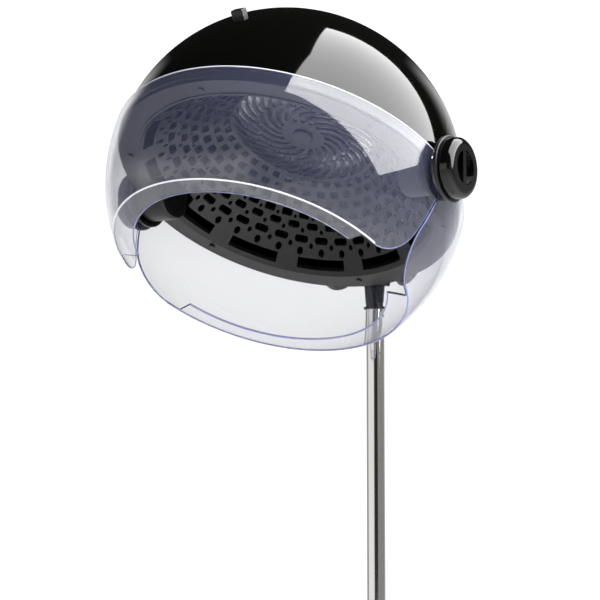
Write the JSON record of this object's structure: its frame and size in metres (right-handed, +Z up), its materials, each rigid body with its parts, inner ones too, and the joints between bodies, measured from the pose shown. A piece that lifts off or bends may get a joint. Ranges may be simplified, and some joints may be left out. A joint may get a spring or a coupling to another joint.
{
  "type": "hood hair dryer",
  "caption": "Hood hair dryer with a perforated air bowl, two clear swing visors, side dials, a tilt bracket, a telescopic pole and a wheeled star base.",
  "frame": {"origin": "on the floor, on the axis of the pole", "axes": "+Z up along the pole, -Y to the front where the hood overhangs, +X on the side of the timer dial"},
  "size_m": [0.5718, 0.6685, 1.461],
  "materials": {
    "shell_black": "polished",
    "liner_black": "satin",
    "clear_tint": "clear, slightly blue",
    "control_black": "moulded, slightly glossy",
    "trim_black": "moulded satin",
    "chrome": "polished chrome",
    "steel": "bare steel",
    "base_black": "gloss enamel",
    "bush_white": "moulded",
    "wheel_black": "satin",
    "insulator": "rigid insulating board",
    "fan_metal": "pressed",
    "element": "bare resistance wire"
  },
  "bodies": {
    "base": {"base_hub": "base_black", "pole_foot_screw": "steel", "base_arms": "base_black", "lower_tube": "chrome", "lower_collar_body": "trim_black", "lower_collet": "bush_white"},
    "lower_nut": {"lower_collar_nut": "trim_black"},
    "mid_pole": {"mid_tube": "chrome", "mid_guide_bush": "bush_white", "upper_collar_body": "trim_black", "upper_collet": "bush_white"},
    "upper_nut": {"upper_collar_nut": "trim_black"},
    "upper_pole": {"upper_tube": "chrome", "upper_guide_bush": "bush_white", "pole_head": "control_black"},
    "button": {"snap_button": "chrome"},
    "hood": {"outer_shell": "shell_black", "intake_grille": "trim_black", "rim_band": "liner_black", "liner_screws": "steel", "inner_liner": "liner_black", "grille_cap": "liner_black", "right_post": "trim_black", "left_post": "trim_black", "post_nuts": "trim_black", "right_switch_cover": "liner_black", "left_switch_cover": "liner_black", "timer_mechanism": "bush_white", "heat_switch": "trim_black", "visor_stop": "trim_black", "rear_bracket": "trim_black", "bracket_screws": "steel", "tilt_pin": "steel", "cord_gland": "trim_black", "terminal_block": "bush_white", "motor_can": "steel", "motor_bracket": "steel", "air_baffle": "insulator", "heater_frame": "insulator", "heater_coil": "element", "thermostat": "bush_white"},
    "fan": {"motor_shaft": "steel", "fan_impeller": "fan_metal"},
    "front_visor": {"front_visor": "clear_tint"},
    "rear_visor": {"rear_visor": "clear_tint"},
    "timer": {"timer_dial": "control_black", "timer_spindle": "steel"},
    "heat": {"heat_dial": "control_black", "heat_spindle": "steel"},
    "caster_1": {"caster_fork_1": "trim_black"},
    "wheels_1": {"caster_wheels_1": "wheel_black"},
    "caster_2": {"caster_fork_2": "trim_black"},
    "wheels_2": {"caster_wheels_2": "wheel_black"},
    "caster_3": {"caster_fork_3": "trim_black"},
    "wheels_3": {"caster_wheels_3": "wheel_black"},
    "caster_4": {"caster_fork_4": "trim_black"},
    "wheels_4": {"caster_wheels_4": "wheel_black"},
    "caster_5": {"caster_fork_5": "trim_black"},
    "wheels_5": {"caster_wheels_5": "wheel_black"}
  },
  "joints": [
    {"name": "mid_slide", "type": "slide", "parent": "base", "child": "mid_pole", "axis": [0, 0, 1], "range_m": [-0.15, 0]},
    {"name": "upper_slide", "type": "slide", "parent": "mid_pole", "child": "upper_pole", "axis": [0, 0, 1], "range_m": [-0.15, 0]},
    {"name": "lower_collar_twist", "type": "hinge", "parent": "base", "child": "lower_nut", "pos_m": [0, 0, 0.5], "axis": [0, 0, 1], "range_deg": [0, 90]},
    {"name": "upper_collar_twist", "type": "hinge", "parent": "mid_pole", "child": "upper_nut", "pos_m": [0, 0, 0.8], "axis": [0, 0, 1], "range_deg": [0, 90]},
    {"name": "snap_press", "type": "slide", "parent": "upper_pole", "child": "button", "axis": [-1, 0, 0], "range_m": [0, 0.0015], "stiffness_N_per_m": 1500},
    {"name": "hood_tilt", "type": "hinge", "parent": "upper_pole", "child": "hood", "pos_m": [0, 0.014, 1.217], "axis": [-1, 0, 0], "range_deg": [0, 25]},
    {"name": "fan_spin", "type": "hinge", "parent": "hood", "child": "fan", "pos_m": [0, -0.182, 1.275], "axis": [0, 0.4772, 0.8788], "continuous": true},
    {"name": "front_visor_swing", "type": "hinge", "parent": "hood", "child": "front_visor", "pos_m": [0, -0.182, 1.275], "axis": [-1, 0, 0], "range_deg": [0, 30]},
    {"name": "rear_visor_swing", "type": "hinge", "parent": "hood", "child": "rear_visor", "pos_m": [0, -0.182, 1.275], "axis": [1, 0, 0], "range_deg": [0, 16]},
    {"name": "timer_turn", "type": "hinge", "parent": "hood", "child": "timer", "pos_m": [0, -0.182, 1.275], "axis": [-1, 0, 0], "range_deg": [0, 300]},
    {"name": "heat_turn", "type": "hinge", "parent": "hood", "child": "heat", "pos_m": [0, -0.182, 1.275], "axis": [1, 0, 0], "range_deg": [-60, 60]},
    {"name": "caster_swivel_1", "type": "hinge", "parent": "base", "child": "caster_1", "pos_m": [0, 0.252, 0.06], "axis": [0, 0, 1], "continuous": true},
    {"name": "caster_roll_1", "type": "hinge", "parent": "caster_1", "child": "wheels_1", "pos_m": [0, 0.268, 0.025], "axis": [1, 0, 0], "continuous": true},
    {"name": "caster_swivel_2", "type": "hinge", "parent": "base", "child": "caster_2", "pos_m": [-0.23967, 0.07787, 0.06], "axis": [0, 0, 1], "continuous": true},
    {"name": "caster_roll_2", "type": "hinge", "parent": "caster_2", "child": "wheels_2", "pos_m": [-0.25488, 0.08282, 0.025], "axis": [0.309, 0.9511, 0], "continuous": true},
    {"name": "caster_swivel_3", "type": "hinge", "parent": "base", "child": "caster_3", "pos_m": [-0.14812, -0.20387, 0.06], "axis": [0, 0, 1], "continuous": true},
    {"name": "caster_roll_3", "type": "hinge", "parent": "caster_3", "child": "wheels_3", "pos_m": [-0.15753, -0.21682, 0.025], "axis": [-0.809, 0.5878, 0], "continuous": true},
    {"name": "caster_swivel_4", "type": "hinge", "parent": "base", "child": "caster_4", "pos_m": [0.14812, -0.20387, 0.06], "axis": [0, 0, 1], "continuous": true},
    {"name": "caster_roll_4", "type": "hinge", "parent": "caster_4", "child": "wheels_4", "pos_m": [0.15753, -0.21682, 0.025], "axis": [-0.809, -0.5878, 0], "continuous": true},
    {"name": "caster_swivel_5", "type": "hinge", "parent": "base", "child": "caster_5", "pos_m": [0.23967, 0.07787, 0.06], "axis": [0, 0, 1], "continuous": true},
    {"name": "caster_roll_5", "type": "hinge", "parent": "caster_5", "child": "wheels_5", "pos_m": [0.25488, 0.08282, 0.025], "axis": [0.309, -0.9511, 0], "continuous": true}
  ]
}
